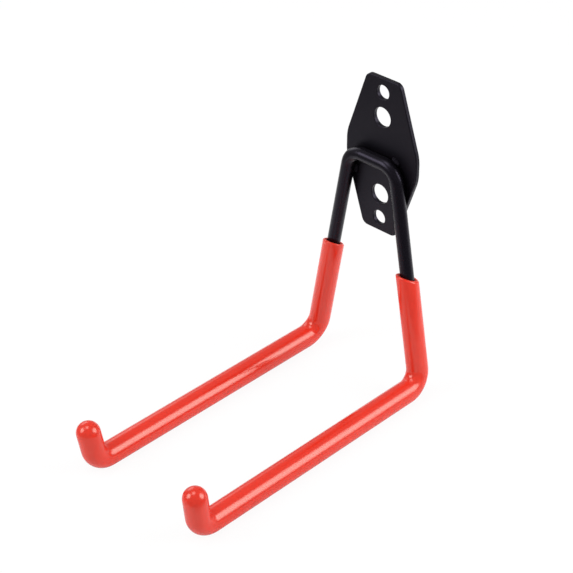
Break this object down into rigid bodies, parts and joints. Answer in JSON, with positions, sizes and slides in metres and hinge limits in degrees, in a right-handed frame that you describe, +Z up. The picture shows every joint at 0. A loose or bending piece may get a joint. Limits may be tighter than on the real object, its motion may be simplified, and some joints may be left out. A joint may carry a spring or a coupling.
{
  "type": "garage utility hook",
  "caption": "Wall-mounted double-arm storage hook: a tapered steel back plate with screw holes and a bent rod whose splayed legs carry sleeved arms with upturned tips.",
  "frame": {"origin": "middle of the back plate's back face, where it lies on the wall", "axes": "+Y into the wall, +Z up, so the arms reach out along -Y and +X is to the right for someone facing the wall"},
  "size_m": [0.0757, 0.1514, 0.1477],
  "materials": {
    "plate_coat": "satin black powder coat",
    "rod_coat": "satin black powder coat",
    "sleeve_pvc": "glossy soft red PVC"
  },
  "bodies": {
    "root": {"back_plate": "plate_coat", "hook_rod": "rod_coat", "weld_beads": "rod_coat", "left_sleeve": "sleeve_pvc", "right_sleeve": "sleeve_pvc"}
  },
  "joints": []
}
